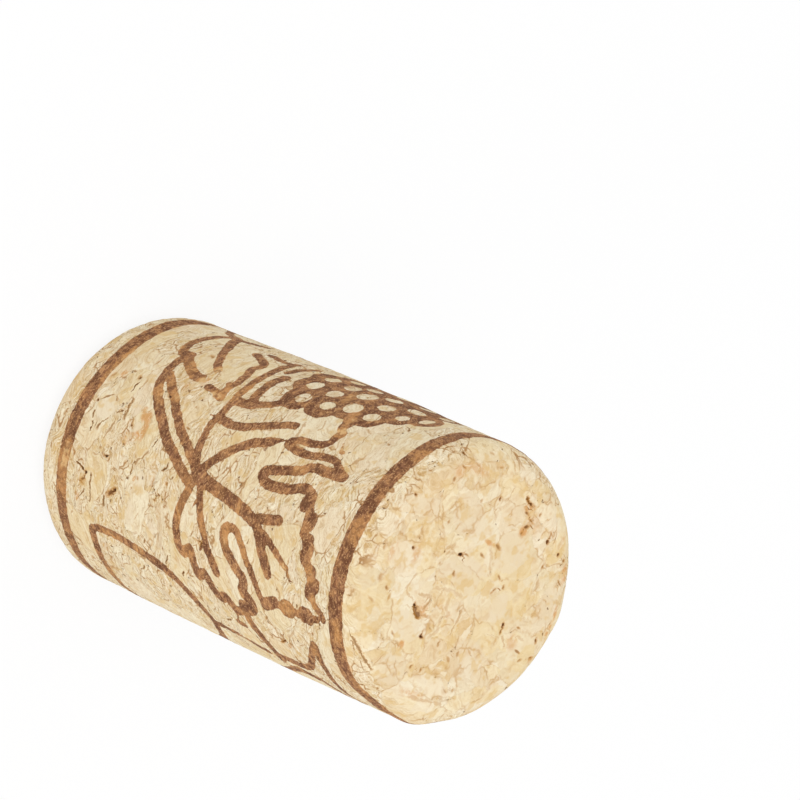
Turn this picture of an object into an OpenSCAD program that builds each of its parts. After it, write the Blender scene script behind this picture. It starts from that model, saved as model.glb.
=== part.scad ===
// Straight wine cork, standing on one end.
//
// The stopper is one piece: a straight barrel with both ends cut square and
// both rims rounded over. +Z runs along the cork, and the origin is the centre
// of the end that it stands on. All sizes are in millimetres.

/* [Barrel] */
// Diameter of the straight barrel, before it is squeezed into a bottle
cork_d = 24; // [18:0.5:30]
// Length over both end faces
cork_len = 44; // [30:1:55]

/* [Rims] */
// Radius of the round-over between the barrel and each end face
rim_r = 2.5; // [0.5:0.1:4]

/* [Hidden] */

// The barrel's radius, and the part of it that stays flat at each end
barrel_r = cork_d / 2;
face_r = barrel_r - rim_r;
// The straight length between the two rims, which grips the bottle's neck
grip_len = cork_len - 2 * rim_r;

$fn = 128;

// Half of the section along the axis, with true quarter circles at the rims
module half_section() {
    square([face_r, cork_len]);
    translate([0, rim_r])
        square([barrel_r, grip_len]);
    for (rim_z = [rim_r, cork_len - rim_r])
        translate([face_r, rim_z])
            circle(r = rim_r);
}

// The whole stopper, turned from its half section
module cork() {
    color("#DFC8A1")
        rotate_extrude()
            half_section();
}

cork();
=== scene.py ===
# %% [markdown]
# # A printed wine cork
#
# A moulded wine cork is one piece: granules of cork bark, a few millimetres
# across, are pressed together with a binder. The barrel is straight, the ends
# are cut square and both rims are round. A vine ornament and two bands are
# printed on the barrel. Here the CAD model gives the size and the place, and
# this lesson adds what the eye sees: granules, seams, pits, strands and print.

# %% Load the frame
import math

import bmesh
import bpy
import numpy as np
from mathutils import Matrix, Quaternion, Vector


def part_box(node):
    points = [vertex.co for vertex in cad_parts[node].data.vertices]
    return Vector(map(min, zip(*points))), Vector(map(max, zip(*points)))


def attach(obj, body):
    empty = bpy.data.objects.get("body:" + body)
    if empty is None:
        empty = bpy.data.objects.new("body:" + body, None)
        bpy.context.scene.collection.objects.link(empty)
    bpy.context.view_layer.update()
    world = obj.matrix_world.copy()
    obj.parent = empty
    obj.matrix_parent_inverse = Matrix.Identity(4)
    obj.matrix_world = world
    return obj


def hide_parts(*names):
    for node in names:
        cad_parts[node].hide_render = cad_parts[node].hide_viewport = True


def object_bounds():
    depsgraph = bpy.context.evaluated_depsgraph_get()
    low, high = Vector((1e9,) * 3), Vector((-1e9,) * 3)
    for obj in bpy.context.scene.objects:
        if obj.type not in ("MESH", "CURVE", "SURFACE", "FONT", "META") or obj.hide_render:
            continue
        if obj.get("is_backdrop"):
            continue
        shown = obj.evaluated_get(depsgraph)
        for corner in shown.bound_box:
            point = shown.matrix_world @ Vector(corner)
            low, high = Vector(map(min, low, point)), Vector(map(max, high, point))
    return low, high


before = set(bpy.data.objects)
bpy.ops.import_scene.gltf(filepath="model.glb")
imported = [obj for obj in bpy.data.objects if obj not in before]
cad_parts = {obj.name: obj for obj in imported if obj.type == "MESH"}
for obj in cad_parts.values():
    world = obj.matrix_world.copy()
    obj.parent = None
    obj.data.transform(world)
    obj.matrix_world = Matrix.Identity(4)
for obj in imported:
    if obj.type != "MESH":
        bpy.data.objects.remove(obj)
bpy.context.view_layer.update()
cork_low, cork_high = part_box("cork")
print("CAD box of the cork in mm:", [round(1000 * side, 2) for side in cork_high - cork_low])

# %% [markdown]
# Everything is in metres, so a millimetre gets a name. The barrel's radius and
# the cork's length come from the CAD node's box. The rounding of the rims is
# the one size that a box can't give, so it is repeated here.

# %% Sizes of the cork
MM = 0.001
BARREL_R = (cork_high.x - cork_low.x) / 2
CORK_LEN = cork_high.z - cork_low.z
RIM_R = 2.5 * MM
R_MM = BARREL_R / MM
LEN_MM = CORK_LEN / MM
print(f"barrel radius {R_MM:.2f} mm, length {LEN_MM:.2f} mm, rim {RIM_R / MM} mm")

# %% [markdown]
# The camera comes first, so that every later step can be looked at. A long
# lens from above gives the flat, catalogue-like view of a small thing. The
# camera is also rolled on its side, so the standing cork reaches across the
# picture. A level aim is made first and then turned about its own axis.

# %% The camera
AIM = Vector((-12.02, 2.53, 24.76)) * MM
VIEW_TURN = math.radians(2.45)
VIEW_RISE = math.radians(47.80)
VIEW_ROLL = math.radians(112.02)
VIEW_DISTANCE = 418.8 * MM

to_camera = Vector((
    math.sin(VIEW_TURN) * math.cos(VIEW_RISE),
    -math.cos(VIEW_TURN) * math.cos(VIEW_RISE),
    math.sin(VIEW_RISE),
))
camera_data = bpy.data.cameras.new("camera")
camera_data.lens = 226.56
camera_data.sensor_width = 36
camera_data.clip_start = 0.01
camera = bpy.data.objects.new("camera", camera_data)
bpy.context.scene.collection.objects.link(camera)
camera.location = AIM + to_camera * VIEW_DISTANCE
level_aim = (-to_camera).to_track_quat("-Z", "Y")
camera.rotation_mode = "QUATERNION"
camera.rotation_quaternion = level_aim @ Quaternion((0, 0, 1), VIEW_ROLL)
bpy.context.scene.camera = camera
print("camera at mm:", [round(place / MM, 1) for place in camera.location])

# %% [markdown]
# The blank starts as a cylinder. Its two end loops are bevelled into true
# quarter rounds, its long sides are cut into short rows, and each end face is
# swapped for a grid, because the relief needs even faces of about 0.2 mm
# everywhere. A single fan of triangles would pinch the relief at the middle.

# %% The blank of the cork
SIDES = 360
RIM_STEPS = 18
FIRST_CUTS, SECOND_CUTS = 30, 5
END_SPAN = SIDES // 4


def pick(mesh, kind, test):
    """Selects only the edges or faces of the mesh in edit mode that pass the test."""
    bpy.ops.mesh.select_all(action="DESELECT")
    bpy.ops.mesh.select_mode(type=kind)
    made = bmesh.from_edit_mesh(mesh)
    parts = made.edges if kind == "EDGE" else made.faces
    for part in parts:
        if test(part):
            part.select_set(True)
    made.select_flush_mode()
    bmesh.update_edit_mesh(mesh)
    return sum(part.select for part in parts)


def is_flat_edge(edge, height):
    """True for an edge that lies at that height."""
    return all(abs(corner.co.z - height) < 0.001 * MM for corner in edge.verts)


bpy.ops.object.select_all(action="DESELECT")
bpy.ops.mesh.primitive_cylinder_add(
    vertices=SIDES, radius=BARREL_R, depth=CORK_LEN, location=(0, 0, CORK_LEN / 2)
)
cork = bpy.context.object
cork.name = cork.data.name = "cork_stopper"
bpy.ops.object.transform_apply(location=True, rotation=True, scale=True)
bpy.ops.object.mode_set(mode="EDIT")
rims = pick(cork.data, "EDGE", lambda e: is_flat_edge(e, 0) or is_flat_edge(e, CORK_LEN))
bpy.ops.mesh.bevel(offset=RIM_R, segments=RIM_STEPS, profile=0.5, affect="EDGES")
for cuts in (FIRST_CUTS, SECOND_CUTS):
    pick(cork.data, "EDGE", lambda e: abs(e.verts[0].co.z - e.verts[1].co.z) > 0.5 * MM)
    bpy.ops.mesh.subdivide(number_cuts=cuts)
for height in (0, CORK_LEN):
    pick(cork.data, "FACE", lambda f: abs(f.calc_center_median().z - height) < 0.001 * MM)
    bpy.ops.mesh.delete(type="ONLY_FACE")
    pick(cork.data, "EDGE", lambda e: is_flat_edge(e, height))
    bpy.ops.mesh.fill_grid(span=END_SPAN)
bpy.ops.mesh.select_all(action="SELECT")
bpy.ops.mesh.normals_make_consistent(inside=False)
bpy.ops.object.mode_set(mode="OBJECT")
bpy.ops.object.shade_smooth()
print(f"rim edges {rims}, faces {len(cork.data.polygons)}, triangles {2 * len(cork.data.polygons)}")

# %% [markdown]
# The print follows the barrel, so it is drawn on a flat chart of it, like a
# label that has been peeled off: s is the arc round the barrel in mm, counted
# from the line that faces -Y, and z is the height in mm. Each corner of the mesh
# is looked up on that chart once.

# %% A chart of the barrel
corner_count = len(cork.data.vertices)
corners = np.zeros(corner_count * 3)
cork.data.vertices.foreach_get("co", corners)
corners = corners.reshape(-1, 3) / MM
turn = np.arctan2(corners[:, 0], -corners[:, 1])
chart = np.stack([turn * R_MM, corners[:, 2]], axis=1)
print("chart s from", chart[:, 0].min().round(2), "to", chart[:, 0].max().round(2))


def keep(name, values, kind="FLOAT"):
    """Stores one number or vector for each corner of the cork's mesh."""
    field = "value" if kind == "FLOAT" else "vector"
    layer = cork.data.attributes.new(name, kind, "POINT")
    layer.data.foreach_set(field, np.ascontiguousarray(values, dtype=np.float32).ravel())


# %% [markdown]
# A printed line is a pen stroke with round ends. Its points are joined by a
# smooth curve, and every corner of the mesh learns how deep inside the stroke
# it lies: half the pen's width minus its distance from the curve. The greatest
# depth of all strokes is the print, and its edge is where the depth is zero.
# That edge stays sharp between the corners, which a painted colour would not.
# Towards its two sides the print sits lower than straight bands would. Why it
# does isn't known, so the sag is a plain correction, given by its size and place.

# %% Pen strokes
depth = np.full(corner_count, -3.0)
REACH = 2.0
# The middle of each sag on the arc, how deep it is and how far it spreads, all in mm
SAGS = [(-15, 0.82, 5.5), (16, 0.55, 5.5)]
sag = sum(deep * np.exp(-(((chart[:, 0] - middle) / spread) ** 2)) for middle, deep, spread in SAGS)
# The bands sag by the whole of it, and what lies between them by half
printed = chart + np.stack([0 * sag, 0.5 * sag], axis=1)


def smooth_path(points, steps=6):
    """The points and what a smooth curve passes between them."""
    points = np.array(points, float)
    if len(points) < 3:
        return points
    ends = [2 * points[0] - points[1], *points, 2 * points[-1] - points[-2]]
    path = []
    for a, b, c, d in zip(ends, ends[1:], ends[2:], ends[3:]):
        for t in np.arange(steps) / steps:
            bend = 2 * a - 5 * b + 4 * c - d
            twist = 3 * b - a - 3 * c + d
            path.append(b + 0.5 * t * (c - a + t * (bend + t * twist)))
    return np.array([*path, points[-1]])


def stroke_depth(points, width, end_width=None):
    """Depth inside one stroke, for the corners near it, and which corners those are."""
    path = smooth_path(points)
    near = np.all(printed > path.min(0) - REACH, axis=1)
    near &= np.all(printed < path.max(0) + REACH, axis=1)
    here = printed[near][:, None, :]
    start, along = path[:-1], path[1:] - path[:-1]
    t = ((here - start) * along).sum(2) / np.maximum((along**2).sum(1), 1e-9)
    t = np.clip(t, 0, 1)
    away = np.linalg.norm(here - start - t[..., None] * along, axis=2)
    share = (np.arange(len(start)) + t) / len(start)
    half = (width + ((end_width or width) - width) * share) / 2
    return (half - away).max(1), near


def draw(points, width, end_width=None):
    """Adds a stroke of the pen to the print."""
    inside, near = stroke_depth(points, width, end_width)
    depth[near] = np.maximum(depth[near], inside)


# %% [markdown]
# Two plain bands run all round the barrel, one near each rim. They are the
# widest marks of the pen and its straightest.

# %% The two bands
BANDS = [(3.62, 5.13), (41.15, 42.66)]
# The lower band is a hair wider on the left than on the right
slip = 0.13 * np.tanh(4 * np.sin((4 - chart[:, 0]) / R_MM))
for lower, upper in BANDS:
    height_here = chart[:, 1] + sag
    top = upper + slip * (upper < LEN_MM / 2)
    depth = np.maximum(depth, np.minimum(height_here - lower, top - height_here))
print("corners under the bands:", int((depth > 0).sum()))

# %% [markdown]
# The ornament is made of common motifs of wine: a vine leaf on its stem, with a
# bunch of grapes beside it and a smaller leaf below. Its strokes keep closely to
# those of the cork it is drawn after, with their points given in mm. The
# leaf's ribs come first, because the rest hangs on the point where they cross.

# %% The leaf's ribs
draw([(0.3, 21.6), (0.45, 22.3), (0.8, 24), (1.08, 26), (1.4, 28), (1.9, 30), (2.05, 30.8)], 1.15)
draw([(1.9, 30.4), (1.65, 31.1), (1.5, 32), (1.2, 33), (1.2, 33.35)], 0.92)
draw([(2.1, 30.8), (2.45, 30.9), (3.05, 32.7), (4, 34.5), (4.45, 35.2), (4.6, 35.6)], 0.9, 0.45)
draw([(4.6, 35.6), (5.1, 35.7), (5.4, 36.1), (5.55, 36.6)], 0.28, 0.15)
draw([(2.6, 31.2), (3.3, 31.75), (4, 32.1), (4.8, 32.65), (5.4, 33.05), (5.65, 33.2)], 1.1)
draw([(0.2, 21.9), (0.6, 22.3), (1.8, 23), (3, 23.55), (4, 24.05), (5, 24.65)], 0.85)
draw([(5, 24.65), (6, 25.2), (6.8, 25.8), (7.5, 26.35)], 0.85, 1.1)
draw([(5.65, 24.7), (6, 24.35), (6.35, 24.15)], 0.4, 0.2)
draw([(2.2, 22.95), (3.1, 22.6)], 0.3, 0.15)
draw(
    [(0, 22), (-1.2, 23.1), (-2.25, 24.1), (-3.1, 25.1), (-3.8, 26.1), (-4.25, 27.2), (-4.5, 27.9)],
    0.95,
)
draw([(-3.7, 27.5), (-3.65, 27.9)], 0.25)
draw([(-4.5, 27.9), (-4.8, 28.45), (-5.05, 29)], 0.85, 0.2)
draw([(-6.65, 28.65), (-6.5, 28), (-6.07, 27), (-5.7, 26), (-5.25, 25), (-4.75, 24)], 0.85)
draw([(-4.75, 24), (-4.5, 22.5), (-4.5, 22), (-4.6, 21), (-4.6, 20.4)], 0.85)
draw([(-4.6, 20.4), (-4.6, 19.45)], 0.35, 0.2)
print("corners in ink so far:", int((depth > 0).sum()))

# %% [markdown]
# The leaf's outline is one long wavy line. Its lobes are drawn in turn, from
# the lower right edge, round the notch and the beaded top, to the left side.

# %% The leaf's outline
draw(
    [(0.3, 21.9), (2, 21.45), (3, 21.1), (4, 20.9), (5, 20.8), (6, 21), (6.9, 21.5), (7.1, 22),
     (6.6, 22.8), (7.5, 23.2), (8.6, 23.7), (8.3, 24.4), (8.5, 25), (9.3, 25.5), (9.9, 26.3),
     (9.75, 26.9), (9.6, 27.2), (10, 27.8), (10.5, 28.3), (10.45, 28.8)],
    1.0,
)
draw([(12.05, 28.8), (11.9, 27.9)], 0.55)
draw([(11.9, 27.95), (11, 28.2)], 0.28)
draw([(8.5, 32.6), (7.7, 32.05), (7, 31.6), (6.3, 31.2), (5.6, 30.6), (4.9, 30.05)], 0.75)
draw([(4.9, 30.05), (4.2, 29.5), (3.7, 29), (3.35, 28.4), (3.3, 27.9), (3.5, 27.4)], 0.75)
draw([(3.5, 27.4), (4, 27.1), (4.6, 27.3), (5.3, 27.8), (6, 28.6), (6.5, 29.2), (7, 29.9)], 1.1)
draw(
    [(7, 29.9), (7.5, 30.05), (8.1, 29.8), (8.6, 30.3), (9, 30.9), (9.5, 30.9), (9.75, 30.3),
     (9.7, 29.5)],
    1.2,
)
draw([(4.1, 26.9), (4.1, 26.3)], 0.35, 0.2)
draw([(8.5, 32.7), (8.4, 32.9), (7.9, 34.1)], 1.15)
draw([(7.95, 34), (8, 35), (7.95, 35.75), (7.97, 37.1), (7.8, 38.2), (7.7, 39.7)], 0.75, 0.65)
for s, z, width in [(7.95, 35.75, 1.6), (7.8, 38.2, 1.55)]:
    draw([(s, z - 0.2), (s, z + 0.2)], width)
draw(
    [(-0.3, 36.4), (0.4, 36.8), (1.2, 36.6), (1.8, 37.3), (2.5, 37.6), (3, 37.3), (3.6, 38),
     (4.1, 38.5), (4.6, 38.8), (5, 39.15), (5.6, 38.75)],
    0.95,
)
BEADS = [
    (-1.4, 35.65, 1.35), (-0.85, 35.4, 1.2), (0.25, 36.75, 1.6), (1.8, 37.4, 1.3),
    (2.5, 37.65, 1.45), (4.1, 38.6, 1.3), (5, 39.2, 1.25), (5.6, 38.75, 1.45),
]
for s, z, width in BEADS:
    draw([(s - 0.1, z), (s + 0.1, z)], width)
draw([(6.3, 39.2), (6.7, 39.5), (7, 40), (7.5, 40.4)], 0.7)
draw(
    [(0.3, 36.9), (-0.4, 36.4), (-1.1, 35.95), (-1.7, 35.6), (-2, 35), (-1.9, 34), (-1.5, 33),
     (-1.3, 32), (-1.15, 31), (-1.15, 30.3), (-1.35, 29.6), (-1.8, 29.1), (-2.15, 29.4),
     (-2.4, 30.2), (-2.65, 31), (-2.95, 32), (-3.3, 33), (-3.7, 33.5), (-3.95, 34.2), (-3.97, 35),
     (-4.02, 36), (-4.05, 37), (-4.12, 37.55)],
    0.95,
)
draw([(-0.5, 36), (-0.6, 35.1)], 0.55, 0.4)
draw(
    [(-4.15, 37.45), (-4.75, 36.3), (-5.2, 35.5), (-5.15, 34.5), (-4.95, 33.5), (-4.7, 32.3),
     (-4.65, 31), (-4.75, 30), (-5, 29.5), (-5.3, 29.8), (-5.6, 30.4), (-5.7, 31)],
    0.75,
)
draw(
    [(-5.7, 31), (-5.78, 32), (-5.95, 32.6), (-6.3, 33.2), (-6.8, 33.4), (-7.3, 33.3), (-7.7, 33.6),
     (-8, 33.2), (-8.5, 32.7), (-9.3, 32.7)],
    0.8,
)
draw([(-6.1, 35.45), (-6.1, 35.2)], 0.38)
draw([(-6.1, 35.2), (-7, 34.6), (-7.6, 34.1)], 0.25, 0.15)
print("corners in ink so far:", int((depth > 0).sum()))

# %% [markdown]
# The stem leaves the crossing to the left and carries the bunch's stalk. A
# double line runs down from the crossing and closes the small leaf.

# %% The stem and the double line
draw(
    [(0.2, 21.5), (-0.6, 21.1), (-1.5, 20.65), (-2.5, 20.4), (-4, 20.25), (-5.2, 20.4), (-6.3, 20.35),
     (-7.5, 20.2), (-9.5, 20), (-11, 19.93), (-12, 19.8), (-13, 19.65), (-14.3, 19.5)],
    0.88,
)
draw([(-8.2, 24.8), (-8, 24.5), (-7.6, 24), (-7.15, 23), (-6.85, 22.5), (-6.75, 22), (-6.75, 20.6)], 0.9)
draw([(-11.3, 21.7), (-10, 21.55), (-9, 21.6), (-8, 21.85), (-7.2, 22.2)], 1.0)
draw([(-15, 21.5), (-13.5, 21.1), (-12.2, 20.95)], 0.75)
draw(
    [(1.3, 21.1), (1, 20.5), (0.75, 20), (0.2, 19), (-0.35, 18), (-0.85, 17), (-1.5, 16), (-2.3, 15),
     (-3, 14), (-3.9, 12.8), (-5.2, 11.5), (-6.3, 10.95), (-7.5, 10.65), (-8.6, 10.7), (-9.4, 11)],
    1.0,
)
draw(
    [(0, 21.2), (-0.6, 20.4), (-1.1, 19.6), (-1.5, 19), (-2.05, 18), (-2.6, 17), (-3.2, 16.3),
     (-3.7, 15.5), (-4.3, 14.8), (-4.9, 14), (-5.5, 13), (-6, 12.3), (-6.6, 11.4)],
    0.88,
)
print("corners in ink so far:", int((depth > 0).sum()))

# %% [markdown]
# The small leaf hangs under the stem. Its lower lines run out of sight to the
# back, where they are brought to a plain end.

# %% The small leaf
draw([(-6.35, 18.9), (-6.45, 18.4), (-6.7, 17.8), (-6.87, 17), (-6.93, 16.35)], 0.72)
draw(
    [(-6.4, 18.75), (-6.9, 18.6), (-7.5, 18.45), (-8.05, 18.55), (-8.5, 18.7), (-9, 18.5),
     (-9.6, 18.5), (-10.2, 18.2), (-10.6, 17.95), (-11.1, 18.15), (-11.5, 18.25), (-12, 17.9),
     (-12.4, 17.1), (-12.75, 16.2), (-13.1, 15.5)],
    0.85,
)
draw([(-8, 18.3), (-8, 17.95)], 0.5)
draw([(-14.2, 19.5), (-13.85, 19), (-13.75, 18), (-13.9, 17), (-14, 16.3)], 0.65)
draw([(-7.35, 15.6), (-7.45, 14.9)], 0.35, 0.7)
draw([(-7.45, 14.9), (-7.4, 14.2), (-7.75, 13.2), (-8.15, 12.4), (-8.7, 11.5), (-9.4, 10.8)], 0.98)
draw([(-8.9, 15.5), (-9.5, 14.6), (-10.3, 14), (-11, 13.35), (-12, 12.75)], 0.75, 0.9)
draw([(-12, 12.75), (-13.3, 11.7), (-14.5, 10.9), (-15, 10.2), (-15.2, 9.6)], 1.0)
draw([(-15.2, 9.6), (-15.5, 8.6), (-16.2, 7.7), (-17, 6.9), (-17.7, 6)], 0.75)
draw([(-15, 10), (-14, 9.6), (-13, 9.3), (-12, 9.15), (-11, 9.1), (-10.3, 9.3), (-9.6, 9.6)], 0.95)
draw([(-9.6, 9.6), (-9.3, 9.9), (-9.5, 10.6)], 0.8)
draw([(-15.8, 13.5), (-15.4, 12.8), (-15.1, 12), (-14.8, 11)], 0.8)
print("corners in ink so far:", int((depth > 0).sum()))

# %% [markdown]
# To the right lies what looks like the rounded side of a cup, with a ribbon over
# it. Both pass out of sight round the barrel, so they are closed there in the
# same plain way.

# %% The cup and the ribbon
draw([(9, 8.62), (9.5, 8.48), (12, 8.45), (16, 8.45), (20, 8.6), (23.5, 8.8)], 0.98)
draw(
    [(9, 8.62), (8.75, 9.2), (8.63, 10), (8.6, 11), (8.6, 11.7), (8.65, 12.5), (8.8, 14), (8.9, 15),
     (9.05, 16), (9.3, 17)],
    0.72,
    0.82,
)
draw(
    [(9.3, 17), (9.5, 18), (9.75, 19), (10.2, 20), (10.85, 21), (11.6, 21.9), (12.3, 22.6), (13, 23.1),
     (14, 23.35), (15, 23.1), (16, 22.6), (17, 21.8), (17.6, 21.1), (19.5, 19), (21.5, 16),
     (23, 12.5), (23.5, 8.8)],
    0.92,
)
draw([(13.8, 23.6), (13.8, 25), (14, 26.3)], 0.75, 0.6)
draw([(14, 26.3), (14.15, 27.2), (14.35, 28.2)], 0.35)
draw([(14.35, 28.2), (14.55, 29), (14.7, 30.2)], 0.6)
draw([(10.5, 29.7), (11.2, 29.9), (12, 30.4), (13, 30.9), (14, 31.4), (15, 31.6)], 1.0)
draw([(10.5, 38.62), (12, 38.68), (16, 38.7), (20, 38.6), (23, 38.2)], 0.85)
draw(
    [(10.4, 38.5), (11.2, 38.05), (12, 37.55), (13, 36.95), (13.6, 36.5), (14.05, 35.9),
     (14.35, 35), (14.4, 34), (14.4, 33), (14.5, 32), (14.8, 31.4)],
    0.8,
)
draw([(23, 38.2), (20, 37.6), (16.9, 36.6), (16, 36), (15.6, 35), (15.5, 33.8), (15.8, 32.7)], 0.9)
draw([(15.8, 32.7), (16.6, 31.6), (17.3, 30.3), (18.2, 28.6)], 0.9, 0.6)
print("corners in ink so far:", int((depth > 0).sum()))

# %% [markdown]
# The bunch is printed the other way round: a dark field with scalloped edges,
# in which each grape is left bare. So the dark discs are drawn first, and then
# a smaller oval is taken out of each.

# %% The bunch of grapes
# Place s and z, half size across and upwards, and how far the ink reaches round it
GRAPES = [
    (-13.8, 37, 0.8, 0.5, 0.8), (-12.6, 35.3, 0.6, 0.6, 1.05), (-14.8, 34.4, 0.6, 1.0, 1.05),
    (-10.9, 33.5, 0.72, 0.72, 1.05), (-13.1, 32.65, 0.75, 0.75, 1.05), (-15.2, 31, 0.7, 0.8, 1.05),
    (-11, 30.9, 0.85, 0.85, 1.05), (-13.6, 29.5, 0.9, 0.9, 1.05), (-10, 28.8, 0.62, 0.7, 1.2),
    (-15.7, 27.8, 0.6, 0.8, 1.05), (-11.9, 27.3, 0.72, 0.75, 1.05), (-14.1, 26.9, 0.75, 0.75, 1.05),
    (-9.8, 25.8, 0.72, 0.75, 1.1), (-16, 25.2, 0.6, 0.75, 0.9), (-12, 24.6, 0.78, 0.75, 0.9),
    (-14.2, 24.1, 0.7, 0.7, 0.9), (-17.2, 33, 0.7, 0.8, 1.05), (-17.6, 29.6, 0.75, 0.8, 1.05),
    (-18, 26.4, 0.7, 0.75, 0.9), (-16.6, 36.2, 0.7, 0.6, 0.8), (-19.4, 31.4, 0.7, 0.75, 1.0),
    (-19.8, 28.2, 0.7, 0.75, 0.9),
]
for s, z, across, high, skin in GRAPES:
    draw([(s, z - 0.1), (s, z + 0.1)], 2 * (max(across, high) + skin))
draw([(-8.8, 32.9), (-9.6, 32.4), (-10.6, 31.8)], 1.1)
for s, z, across, high, skin in GRAPES:
    away = np.hypot((chart[:, 0] - s) / across, (chart[:, 1] - z) / high)
    depth = np.minimum(depth, (away - 1) * min(across, high) + 3.0 * (away > 2.5))
keep("print", np.clip(depth, -2, 2))
print("corners in ink:", int((depth > 0).sum()))

# %% [markdown]
# Small flaws are what make cork look real: three-cornered pits where granules
# don't meet, slits, and flecks of bark. The larger ones are placed one by one.
# Each gets its own little chart, which is a pair of numbers on the corners round
# it: how far along and how far across the flaw a place is, as a share of its
# size. They change evenly over the surface, so a flaw keeps a sharp edge that is
# finer than the mesh.

# %% Places on the cork
def on_side(s, z):
    """The point of the barrel at that place of the chart, and the way round and up there."""
    a = s / R_MM
    return (
        np.array([R_MM * math.sin(a), -R_MM * math.cos(a), z]),
        np.array([math.cos(a), math.sin(a), 0.0]),
        np.array([0.0, 0.0, 1.0]),
    )


def on_end(x, y):
    """The point of the top face at x and y, and the ways x and y run there."""
    return np.array([x, y, LEN_MM]), np.array([1.0, 0, 0]), np.array([0, 1.0, 0])


def small_chart(place, half_long, half_wide, lean):
    """Every corner as seen from a place: along, aside, and the distance in mm."""
    point, across, up = place
    lean = math.radians(lean)
    along = across * math.cos(lean) + up * math.sin(lean)
    aside = up * math.cos(lean) - across * math.sin(lean)
    arm = corners - point
    return arm @ along / half_long, arm @ aside / half_wide, np.linalg.norm(arm, axis=1)


# Place, half length, half width, lean in degrees, and how dark it is
SIDE_FLAWS = [
    (4.5, 12, 0.24, 0.2, 0, 1), (4.9, 11.45, 0.5, 0.26, -55, 0.78), (2.15, 9.95, 0.42, 0.12, 85, 1),
    (2.3, 10.4, 0.22, 0.08, 10, 0.55), (-5.2, 8.7, 0.2, 0.21, 0, 0.95), (4.2, 7.65, 0.21, 0.17, 0, 0.95),
    (4.85, 7.25, 0.31, 0.14, -65, 0.7), (5.25, 7.35, 0.22, 0.08, 80, 0.5),
    (3.1, 5.6, 0.28, 0.11, 0, 0.58), (-1.95, 5.95, 0.15, 0.14, 0, 0.9),
    (-4.65, 5.65, 0.28, 0.13, -20, 0.62), (-7.3, 8.85, 0.4, 0.09, 0, 0.6),
    (11.75, 33.9, 0.47, 0.11, -57, 0.85), (-8.75, 38.25, 0.22, 0.11, 60, 0.8),
    (-10.2, 12.8, 0.29, 0.15, 70, 0.9), (3.1, 17.2, 0.15, 0.11, 30, 1),
    (3.35, 17.9, 0.17, 0.1, 70, 0.85), (3.85, 17.5, 0.13, 0.09, 80, 0.75),
    (4.5, 16.85, 0.11, 0.11, 0, 0.55), (2.2, 18.6, 0.17, 0.14, 0, 0.6),
    (-4.7, 13.65, 0.22, 0.14, 80, 0.85), (12.2, 30.9, 0.22, 0.11, 30, 0.5),
    (2.55, 16.75, 0.45, 0.14, 0, 0.52), (5.6, 24.1, 0.5, 0.11, 80, 0.9),
    (5.95, 24.25, 0.2, 0.14, 60, 0.75), (9, 22.3, 0.18, 0.11, 0, 0.58),
    (9.65, 22.6, 0.22, 0.1, 20, 0.48), (8.2, 20.8, 0.39, 0.29, 50, 0.35),
    (-2.75, 18.1, 0.31, 0.08, 85, 0.6), (-4.7, 17.25, 0.11, 0.09, 0, 0.55),
    (-5.4, 18.45, 0.11, 0.09, 0, 0.5), (-2.85, 23.4, 0.13, 0.09, 0, 0.55),
    (2.15, 26.05, 0.18, 0.1, 40, 0.5), (0.55, 30.4, 0.29, 0.11, -25, 0.55),
    (-0.4, 29.65, 0.13, 0.1, 0, 0.5), (-0.2, 29.2, 0.11, 0.08, 0, 0.45),
    (-2.95, 35.75, 0.11, 0.09, 0, 0.5), (-2.4, 36.2, 0.1, 0.08, 0, 0.45),
    (-3.1, 35.2, 0.11, 0.09, 0, 0.4), (9.2, 32.35, 0.25, 0.11, -10, 0.68),
    (9.8, 32.5, 0.28, 0.1, -35, 0.62), (4.5, 34.7, 0.16, 0.11, 60, 0.55),
    (10.3, 9.8, 0.45, 0.34, 60, 0.36), (11.5, 10.05, 0.34, 0.11, -40, 0.55),
    (12.9, 9.3, 0.45, 0.13, -60, 0.55), (12.75, 10.1, 0.25, 0.11, 0, 0.42),
    (13.2, 14.3, 0.25, 0.11, -30, 0.45), (12.5, 13.7, 0.22, 0.1, -40, 0.45),
    (13.4, 11.5, 0.34, 0.14, -50, 0.4), (12.8, 6.5, 0.25, 0.11, -45, 0.48),
    (1.7, 8.8, 0.12, 0.09, 70, 0.55), (2.75, 14.75, 0.18, 0.09, 60, 0.55),
    (3.75, 14.2, 0.11, 0.09, 0, 0.5), (10.3, 17.55, 0.13, 0.09, -30, 0.45),
    (4.2, 5.3, 0.34, 0.09, 0, 0.42), (10.3, 7.2, 0.56, 0.11, 0, 0.42), (-9.4, 7.1, 0.22, 0.1, 30, 0.5),
    (-11.3, 9.7, 0.18, 0.11, 60, 0.55), (-10.6, 24.5, 0.22, 0.11, 70, 0.5),
    (-12.6, 34.2, 0.22, 0.11, 50, 0.5), (-14.2, 20.3, 0.28, 0.11, 60, 0.5),
    (-15.5, 30.1, 0.22, 0.14, 0, 0.5),
]
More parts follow.
